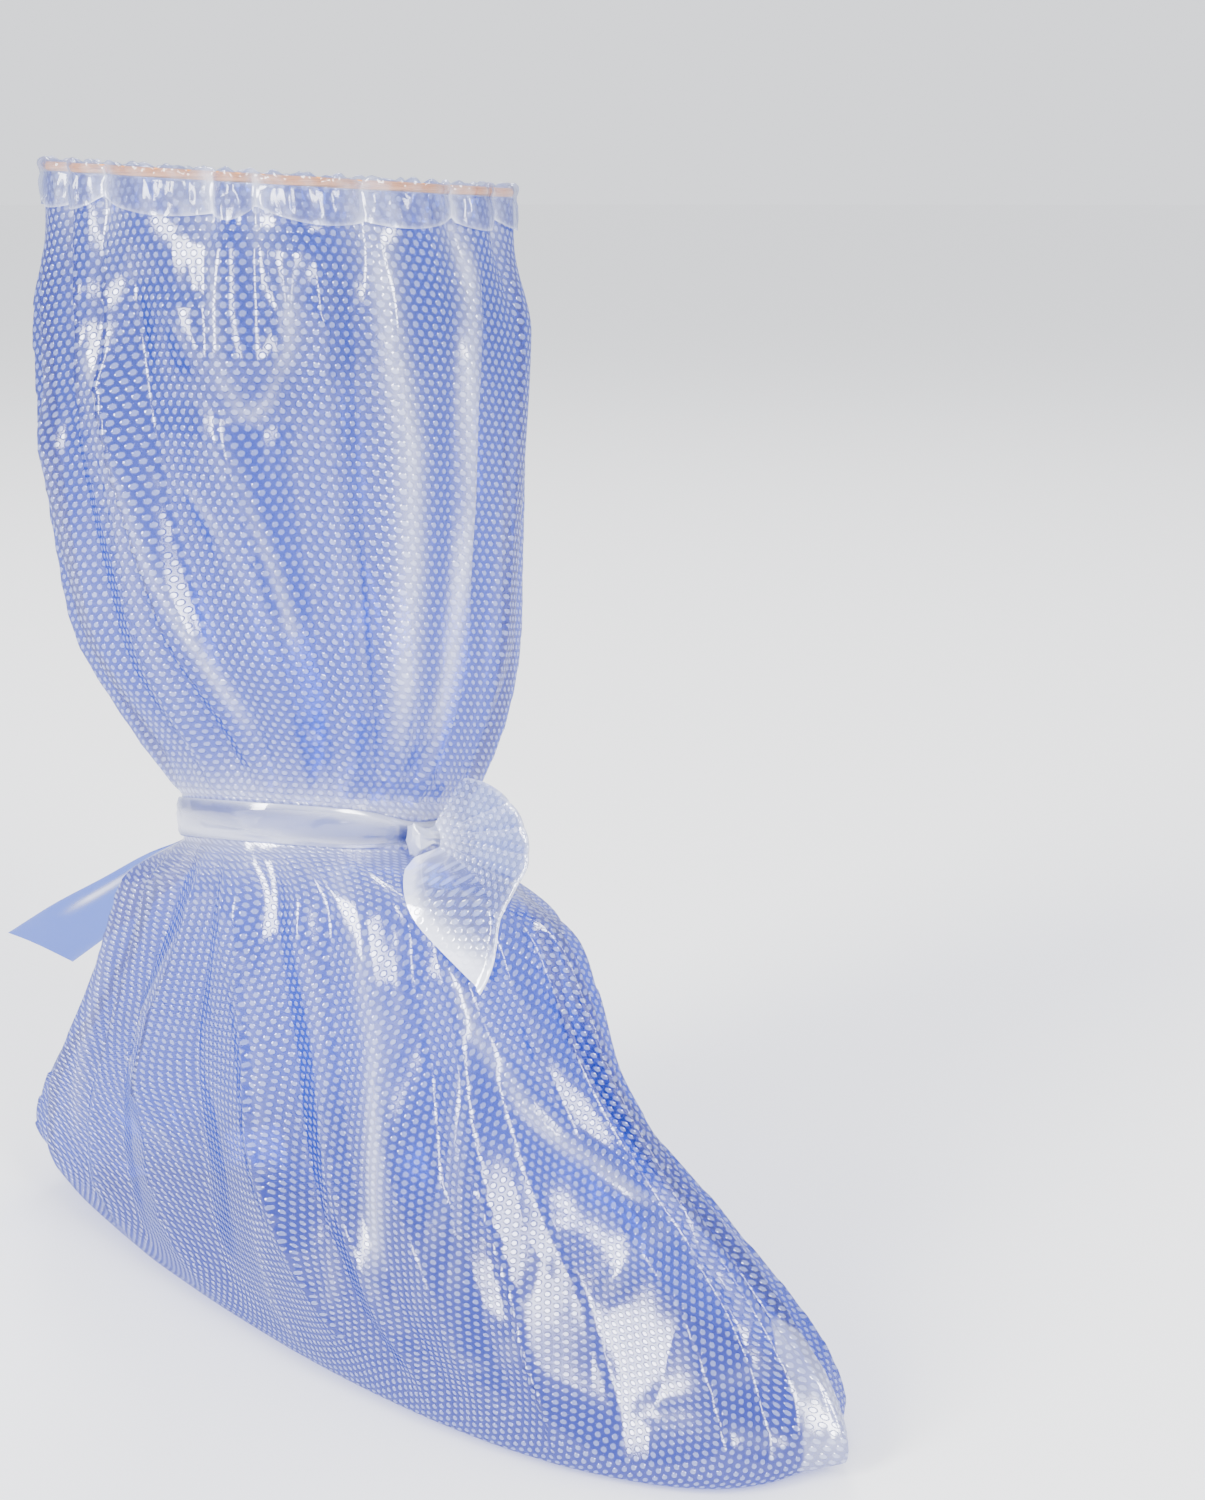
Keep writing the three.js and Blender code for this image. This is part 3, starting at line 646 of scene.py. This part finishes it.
# Lengths on the flat film: round each ring from the side seen first, and down each column
def bagCut(shareAcross, shareAlong, turn, height):
    item = np.rint(shareAcross * bag["across"]).astype(int)
    line = np.rint(shareAlong * bag["along"]).astype(int)
    plain = np.zeros((line.max() + 1, item.max() + 1, 3))
    plain[line, item] = filmPoints(turn, height, 0, True)
    ring = np.cumsum(np.linalg.norm(np.diff(plain, axis=1, prepend=plain[:, :1]), axis=2), axis=1)
    down = np.cumsum(np.linalg.norm(np.diff(plain, axis=0, prepend=plain[:1]), axis=2), axis=0)
    middle = item.max() // 2
    belt = np.argmin(np.abs(plain[:, middle, 2] - waistTop))
    return np.stack([
        ring[line, item] - ring[line, middle],
        down[line, item] - down[belt, item]], axis=-1)


# The sole is one flat face that closes the lowest ring, with a material of its own
def makeBag():
    shape = sheetShape(bag["across"], bag["along"], bagPlace, True)
    edges = [
        edge for edge in shape.edges
        if edge.is_boundary and max(vert.co.z for vert in edge.verts) < metre]
    for face in bmesh.ops.edgeloop_fill(shape, edges=edges, mat_nr=1)["faces"]:
        face.smooth = False
    turnOutward(shape, Vector(bag["middle"]))
    piece = meshPiece("filmBag", shape, films["clearFilm"])
    piece.data.materials.append(films["soleFilm"])
    return piece


filmBag = makeBag()
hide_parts("film_bag")

print("stage: hem and elastic")

elasticSize = {"across": 240, "along": 12, "tall": 2.6, "thick": 1.1, "gap": 0.3}

hem = {
    "across": 480, "along": 30, "seamTurn": 135, "length": 480, "outside": 1.9, "scallop": 2.5,
    "pucker": 0.35, "sharpness": 0.6, "waves": 52, "wander": 2.2, "wanders": 7, "slant": 3.2,
    "fineShare": 0.5, "fineWaves": 87, "fineWander": 1.7, "fineWanders": 11, "fineSlant": 3,
    "freeAbove": 4, "heldShare": 0.3, "squeeze": 0.8, "squeezeBelow": 2, "squeezeReach": 1.6,
    "frill": 1.0, "frillStart": 0.7, "frillSpan": 0.3, "frillWave": 0.6, "frillFine": 0.4,
    "milk": 0.15, "waveMilk": 0.15, "pinchMilk": 0.6, "edgeMilk": 0.5, "edgeReach": 0.7,
    # how far each panel's lower edge falls from one of its ends to the other
    "panelFall": (3, -2, 3, -3, 2.5, -3, 3, -2, 0, 2, -3, 3, -2, 3, -3, 2),
}
elasticHeight = cover["rimHeight"] - cover["filmWall"] - elasticSize["gap"] - elasticSize["tall"] / 2


# Where the film of the hem lies: up its outer side, over the elastic and down its inner side
def hemPlace(shareAcross, shareAlong):
    turn = hem["seamTurn"] - 360 * shareAcross
    over = math.pi * hem["outside"]
    side = cover["hemTall"] - hem["outside"]
    path = shareAlong * (2 * side + over)
    lean = np.clip((path - side) / over, 0, 1) * math.pi
    panel, part = mouthPanel(turn)
    fall = np.array(hem["panelFall"])[panel] * (part - 0.5)
    bottom = hemBottom + hem["scallop"] * (1 - ruffle(turn)) - fall
    outer = bottom + (cover["rimHeight"] - hem["outside"] - bottom) * np.clip(path / side, 0, 1)
    inner = cover["rimHeight"] - hem["outside"] - np.maximum(0, path - side - over)
    height = np.where(lean < math.pi, outer, inner) + hem["outside"] * np.sin(lean)
    phase = np.radians(turn)
    above = height - hemBottom
    rise = above / cover["hemTall"]
    wander = hem["wander"] * np.sin(hem["wanders"] * phase)
    wave = np.sin(hem["waves"] * phase + wander + rise * hem["slant"])
    wander = hem["fineWander"] * np.sin(hem["fineWanders"] * phase)
    fine = np.sin(hem["fineWaves"] * phase + wander - rise * hem["fineSlant"])
    free = smooth(above / hem["freeAbove"]) * (1 - hem["heldShare"]) + hem["heldShare"]
    sharp = np.abs(wave) ** hem["sharpness"] * np.sign(wave)
    pucker = hem["pucker"] * (sharp + hem["fineShare"] * fine) * free
    nip = hem["squeeze"] * np.exp(
        -((height - (elasticHeight - hem["squeezeBelow"])) / hem["squeezeReach"]) ** 2)
    out = -cover["filmWall"] / 2 + (hem["outside"] - nip) * np.cos(lean) + pucker
    upper = np.maximum(0, rise - hem["frillStart"]) / hem["frillSpan"]
    frill = hem["frillWave"] * wave + hem["frillFine"] * fine - hem["frillWave"]
    spots = filmPoints(turn, height, out)
    spots[:, 2] += hem["frill"] * upper * frill
    edge = np.exp(-np.minimum(path, 2 * side + over - path) / hem["edgeReach"])
    milk = (hem["milk"] + hem["waveMilk"] * np.maximum(0, wave) + hem["pinchMilk"] * (1 - ruffle(turn)) ** 2
            + hem["edgeMilk"] * edge)
    cut = np.stack([shareAcross * hem["length"], path], axis=-1)
    return spots, cut, milk


def makeHem():
    shape = sheetShape(hem["across"], hem["along"], hemPlace, True)
    bmesh.ops.recalc_face_normals(shape, faces=shape.faces)
    outer = max(shape.faces, key=lambda face: face.calc_center_median().x)
    if outer.normal.x < 0:
        bmesh.ops.reverse_faces(shape, faces=shape.faces)
    return meshPiece("topHem", shape, films["hemFilm"])


topHem = makeHem()
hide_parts("top_hem")


# Power of the sine in a ring's section: 1 is an oval, and a lower one is squarer
ringPower = 0.7


# A ring of film or elastic round the bag. Its section starts and ends at the bottom, where two
# free edges leave a slit, or where it closes when the slit is 0.
def ringPlace(shareAcross, shareAlong, height, tall, inside, thick, ridges, slit):
    turn = bag["seamTurn"] - 360 * shareAcross
    lean = slit - math.pi / 2 + shareAlong * 2 * (math.pi - slit)
    up = np.sin(lean)
    out = np.cos(lean)
    up = np.sign(up) * np.abs(up) ** ringPower * tall / 2
    outside = inside + thick / 2 * (1 + out) + ridges(turn, up, out)
    spots = filmPoints(turn, np.full(len(turn), float(height)), outside)
    spots[:, 2] += up
    return spots, turn, lean


def noRidges(turn, up, out):
    return 0


def elasticPlace(shareAcross, shareAlong):
    inside = -cover["filmWall"] / 2 - elasticSize["thick"] / 2
    spots, turn, lean = ringPlace(
        shareAcross, shareAlong, elasticHeight, elasticSize["tall"], inside, elasticSize["thick"],
        noRidges, 0)
    return spots, np.stack([turn, lean], axis=-1), np.zeros(len(turn))


def makeSheet(name, sizes, place, closed, material):
    shape = sheetShape(sizes["across"], sizes["along"], place, closed)
    bmesh.ops.recalc_face_normals(shape, faces=shape.faces)
    return meshPiece(name, shape, material)


elastic = makeSheet("elasticRing", elasticSize, elasticPlace, True, tanElastic)
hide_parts("elastic")

print("stage: strap")

band = {
    "across": 300, "along": 40, "thick": 1.4, "slit": 0.15, "pinchSpread": 16, "pinch": 0.45,
    "ridge": 0.45, "ridgeReach": 1.0, "milk": 0.35, "milkSwing": 0.25, "milkAlong": 3, "milkRound": 2,
    "cutTall": 2,
    # level of each long crease, how far it sways, how often round the band, and from which turn
    "ridges": ((-4.2, 1.2, 3, 0), (-1.6, 1.6, 2, 80), (1.2, 1.4, 4, 150), (4.0, 1.3, 3, 220)),
}
knot = {
    "round": 64, "along": 40, "turn": -9, "wide": 15, "tall": 15, "deep": 10, "gap": 0.9, "milk": 0.75,
    "narrow": 0.42, "flare": 0.5, "flarePower": 1.4, "crease": 0.16, "creases": 3.5, "twist": 2.2,
    "endRound": 2.2,
}
bandOutside = cover["fitGap"] + band["thick"]


# A point of the film at the tie, a distance out from it
def tieSeat(turn, out):
    return filmPoints(np.array([float(turn)]), np.array([float(cover["tieHeight"])]), out)[0]


# Long creases of the bunched strap, which wander up and down its face
def bandRidges(turn, up, out):
    height = 0
    for level, sway, count, start in band["ridges"]:
        line = level + sway * np.sin(np.radians(count * turn + start))
        height = height + band["ridge"] * np.exp(-np.abs(up - line) / band["ridgeReach"])
    return height * np.maximum(0, out)


# The strap goes round folded in two lengthwise, with both of its edges at the bottom
def bandPlace(shareAcross, shareAlong):
    spots, turn, lean = ringPlace(
        shareAcross, shareAlong, cover["tieHeight"], cover["bandTall"], cover["fitGap"], band["thick"],
        bandRidges, band["slit"])
    near = np.exp(-(turnBetween(turn, knot["turn"]) / band["pinchSpread"]) ** 2)
    middle = filmPoints(turn, np.full(len(turn), float(cover["tieHeight"])))[:, 2]
    spots[:, 2] = mix(spots[:, 2], middle, band["pinch"] * near)
    cut = np.stack([np.radians(turn) * cover["ankleWidth"] / 2, lean * band["cutTall"]], axis=-1)
    swing = np.sin(lean * band["milkAlong"] + np.radians(turn) * band["milkRound"])
    return spots, cut, band["milk"] + band["milkSwing"] * swing


ankleBand = makeSheet("ankleBand", band, bandPlace, True, films["strapFilm"])
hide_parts("ankle_band")


# A lump that is narrow in its middle and flares to both ends, with creases that run along it
def makeKnot():
    seat = tieSeat(knot["turn"], bandOutside + knot["gap"] + knot["deep"] / 2)
    turned = math.radians(knot["turn"])
    shape = bmesh.new()
    bmesh.ops.create_uvsphere(shape, u_segments=knot["round"], v_segments=knot["along"], radius=1)
    cloudy = shape.verts.layers.float.new("milk")
    shape.loops.layers.uv.new("cut")
    for vert in shape.verts:
        angle = math.atan2(vert.co.y, vert.co.x)
        pinch = knot["narrow"] + knot["flare"] * abs(vert.co.z) ** knot["flarePower"]
        wave = math.sin(knot["creases"] * angle + knot["twist"] * vert.co.z)
        crease = knot["crease"] * abs(wave) ** 0.5
        swell = math.sqrt(max(0, 1 - vert.co.z ** 2)) or 1
        ends = min(1, swell * knot["endRound"])
        deep = knot["deep"] / 2 * (vert.co.x / swell * (pinch - crease) * ends)
        wide = knot["wide"] / 2 * vert.co.z
        tall = knot["tall"] / 2 * (vert.co.y / swell * (pinch - crease) * ends)
        vert[cloudy] = knot["milk"]
        vert.co = Vector((
            seat[0] + deep * math.cos(turned) - wide * math.sin(turned),
            seat[1] + deep * math.sin(turned) + wide * math.cos(turned),
            seat[2] + tall)) * metre
    for face in shape.faces:
        face.smooth = True
    bmesh.ops.recalc_face_normals(shape, faces=shape.faces)
    return meshPiece("strapKnot", shape, films["strapFilm"])


strapKnot = makeKnot()
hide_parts("strap_knot")

loop = {
    "across": 110, "along": 80, "reach": 44, "start": 5, "spread": 0.8, "clearance": 5,
    "rootClearance": 0.25, "clearanceFade": 0.4, "gap": 2, "rootGap": 0.4, "rimFullness": 6,
    "fans": 2.4, "fanWander": 0.6, "fanPower": 0.6, "ripple": 2.0, "rippleEnd": 1.3, "milk": 0.1,
    "edgeMilk": 0.7, "edgeReach": 0.035, "endMilk": 1.1, "endReach": 0.75, "rootMilk": 0.6,
    "rootReach": 0.2, "valleyMilk": 0.15, "valley": 0.3,
}

# The loop's rim from its lower to its upper end, about the knot: lean in degrees above level,
# reach and aside as shares of the loop's full reach
loopRim = [
    (0, -45, 1.21, -0.45), (1, -32, 1.09, -0.37), (2, -25, 1.0, -0.32), (3, -17, 0.955, -0.25),
    (4, -9, 0.965, -0.18), (5, 0, 0.98, -0.09), (6, 9, 0.92, 0.0), (7, 20, 0.84, 0.05),
    (8, 33, 0.74, 0.07), (9, 59, 0.53, 0.09),
]


# Side of the film towards -Y, at distances ahead and heights
def nearSide(x, z):
    rise = riseAt(z - cover["tieTilt"] * smooth(riseAt(z)))
    widest, front = column(sections, rise, 2), column(sections, rise, 3)
    power = 2 / column(sections, rise, 5)
    ahead = np.clip((x - widest) / (front - widest), 0, 1)
    cosine = ahead ** (1 / power)
    return -column(sections, rise, 4) * (1 - cosine ** 2) ** (power / 2)


# Two layers of film, from the knot out to the rim and back under
def loopPlace(shareAcross, shareAlong):
    root = tieSeat(knot["turn"], bandOutside + cover["fitGap"] + knot["deep"] / 2)
    item = shareAcross * (len(loopRim) - 1)
    lean = np.radians(column(loopRim, item, 1))
    reach = column(loopRim, item, 2) * loop["reach"]
    aside = column(loopRim, item, 3) * loop["reach"]
    share = 1 - np.abs(2 * shareAlong - 1)
    side = np.where(shareAlong < 0.5, -1, 1)
    out = mix(loop["start"], reach, share ** loop["spread"])
    fan = np.abs(np.sin(item * loop["fans"] + loop["fanWander"] * np.sin(item))) ** loop["fanPower"]
    ripple = (fan - 0.5) * loop["ripple"] * share * (loop["rippleEnd"] - share)
    full = np.sqrt(np.clip(1 - share ** loop["rimFullness"], 0, 1))
    belly = side * loop["gap"] / 2 * full * (loop["rootGap"] + share)
    x = root[0] + out * np.cos(lean)
    z = root[2] + out * np.sin(lean)
    free = root[1] + aside * share + ripple
    near = loop["rootClearance"]
    clearance = loop["clearance"] * (near + (1 - near) * smooth(share / loop["clearanceFade"]))
    y = np.minimum(free, nearSide(x, z) - clearance) + belly
    edge = np.exp(-(1 - share) / loop["edgeReach"])
    ends = np.exp(-(item / loop["endReach"]) ** 2)
    milk = (loop["milk"] + loop["edgeMilk"] * edge + loop["endMilk"] * ends
            + loop["rootMilk"] * np.exp(-share / loop["rootReach"])
            + loop["valleyMilk"] * (fan < loop["valley"]))
    return np.stack([x, y, z], axis=-1), np.stack([x, z], axis=-1), milk


strapLoop = makeSheet("strapLoop", loop, loopPlace, False, films["loopFilm"])
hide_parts("strap_loop")

tail = {
    "across": 40, "along": 120, "width": 29, "length": 130, "turn": 180, "thick": 1.2, "free": 0.1,
    "crimpReach": 0.05, "crimpFade": 0.4, "crimpSway": 0.05, "crimpWaves": 1.7, "crimpPhase": 9,
    "crimpBack": 0.5, "crimpAside": 0.4, "bow": 4, "bowBase": 2, "sway": 1.5, "swayWaves": 1.1,
    "bowStart": 0.2, "bowAside": 0.5, "bowUp": 0.5, "rootMilk": 0.5, "rootReach": 0.12,
    "rimMilk": 0.2, "rimReach": 0.03, "crimpMilk": 0.1, "paintedHighlight": 1.1, "paintedHighlightAt": 0.34,
    "paintedHighlightReach": 0.08, "paintedHighlightEnd": 0.9, "paintedHighlightFade": 0.15,
    # share across and height of each crimp
    "crimps": ((0.2, 0.9), (0.42, 0.7), (0.63, 0.9), (0.82, 0.6)),
}

# The tail's two edges from the band to its cut end. Behind and down are shares of its length,
# and near and far are shares of the strap's width.
tailEdges = [
    # share, behind, near, down, then behind, far and down of the other edge
    (0, 0.0, -0.22, -0.03, 0.0, 0.22, -0.03),
    (1, 0.01, -0.22, 0.03, 0.01, 0.24, 0.03),
    (2, 0.1, -0.2, 0.065, 0.1, 0.3, 0.08),
    (3, 0.29, -0.17, 0.14, 0.24, 0.4, 0.19),
    (4, 0.5, -0.16, 0.25, 0.43, 0.48, 0.33),
    (5, 0.72, -0.14, 0.37, 0.62, 0.55, 0.46),
    (6, 0.95, -0.12, 0.515, 0.87, 0.62, 0.635),
]


# The tail bends round the band where it leaves it, and its crimps fade on the way to its cut end
def tailPlace(shareAcross, shareAlong):
    seat = tieSeat(tail["turn"], bandOutside + cover["fitGap"] + tail["thick"] / 2)
    item = shareAlong * (len(tailEdges) - 1)
    back = mix(column(tailEdges, item, 1), column(tailEdges, item, 4), shareAcross)
    aside = mix(column(tailEdges, item, 2), column(tailEdges, item, 5), shareAcross) * tail["width"]
    down = mix(column(tailEdges, item, 3), column(tailEdges, item, 6), shareAcross)
    wrap = aside ** 2 / cover["ankleWidth"] * smooth(1 - back / tail["free"])
    crimp = 0.0
    for level, tall in tail["crimps"]:
        line = level + tail["crimpSway"] * np.sin(item * tail["crimpWaves"] + level * tail["crimpPhase"])
        away = np.abs(shareAcross - line)
        crimp = crimp + tall * np.exp(-away / tail["crimpReach"]) * np.exp(-shareAlong / tail["crimpFade"])
    bow = tail["sway"] * np.sin(item * tail["swayWaves"])
    bow = bow + tail["bow"] * np.sin(math.pi * shareAcross) - tail["bowBase"]
    bow = bow * smooth(shareAlong / tail["bowStart"])
    x = seat[0] - back * tail["length"] + wrap - tail["crimpBack"] * crimp
    y = seat[1] + aside - tail["crimpAside"] * crimp - tail["bowAside"] * bow
    z = seat[2] - down * tail["length"] + bow * tail["bowUp"]
    spots = np.stack([x, y, z], axis=-1)
    rim = np.exp(-np.minimum(shareAcross, 1 - shareAcross) / tail["rimReach"])
    # Painted highlight: a milky streak along the tail, a little off its middle, stands in for light caught
    # along it
    paintedHighlight = np.exp(-((shareAcross - tail["paintedHighlightAt"]) / tail["paintedHighlightReach"]) ** 2)
    paintedHighlight = paintedHighlight * smooth((tail["paintedHighlightEnd"] - shareAlong) / tail["paintedHighlightFade"])
    milk = (tail["rootMilk"] * np.exp(-shareAlong / tail["rootReach"]) + tail["rimMilk"] * rim
            + tail["crimpMilk"] * crimp + tail["paintedHighlight"] * paintedHighlight)
    cut = np.stack([shareAcross * tail["width"], shareAlong * tail["length"]], axis=-1)
    return spots, cut, milk


strapTail = makeSheet("strapTail", tail, tailPlace, False, films["tailFilm"])
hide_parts("strap_tail")

print("stage: studio")

studio = {
    "floorReach": 60, "floorGap": 0.6, "grey": (0.95, 0.95, 0.95, 1), "air": 1.6,
    "airColour": (0.93, 0.95, 1, 1), "middle": (0.03, 0, 0.2),
}


# A wide pale floor just under the sole
def makeFloor():
    shape = bmesh.new()
    bmesh.ops.create_circle(shape, cap_ends=True, segments=96, radius=studio["floorReach"])
    bmesh.ops.translate(shape, verts=shape.verts, vec=(0, 0, -studio["floorGap"] * metre))
    mesh = bpy.data.meshes.new("studioFloor")
    shape.to_mesh(mesh)
    shape.free()
    shading = Shading("paleFloor")
    skin = shading.add("ShaderNodeBsdfDiffuse", {}, {"Color": studio["grey"]})
    shading.add("ShaderNodeOutputMaterial", {}, {"Surface": skin})
    mesh.materials.append(shading.material)
    floor = bpy.data.objects.new("studioFloor", mesh)
    bpy.context.scene.collection.objects.link(floor)


makeFloor()

# Each light: turn round the cover from its toe, distance, height, width, tall, power
lights = {
    "longLeft": (-98, 2.6, 1.4, 0.8, 2.0, 170),
    "longFront": (-18, 2.6, 1.4, 0.7, 2.0, 120),
    "softBack": (130, 1.6, 2.6, 0.8, 0.8, 40),
}


def placeLights():
    world = bpy.data.worlds.new("studioAir")
    bpy.context.scene.world = world
    world.use_nodes = True
    sky = world.node_tree.nodes["Background"].inputs
    sky["Color"].default_value = studio["airColour"]
    sky["Strength"].default_value = studio["air"]
    for name, (turn, distance, height, wide, tall, power) in lights.items():
        data = bpy.data.lights.new(name, "AREA")
        data.shape = "RECTANGLE"
        data.size = wide
        data.size_y = tall
        data.energy = power
        light = bpy.data.objects.new(name, data)
        bpy.context.scene.collection.objects.link(light)
        turned = math.radians(turn)
        spot = Vector((distance * math.cos(turned), distance * math.sin(turned), height))
        light.location = spot
        light.rotation_euler = (Vector(studio["middle"]) - spot).to_track_quat("-Z", "Y").to_euler()


placeLights()

print("stage: done")
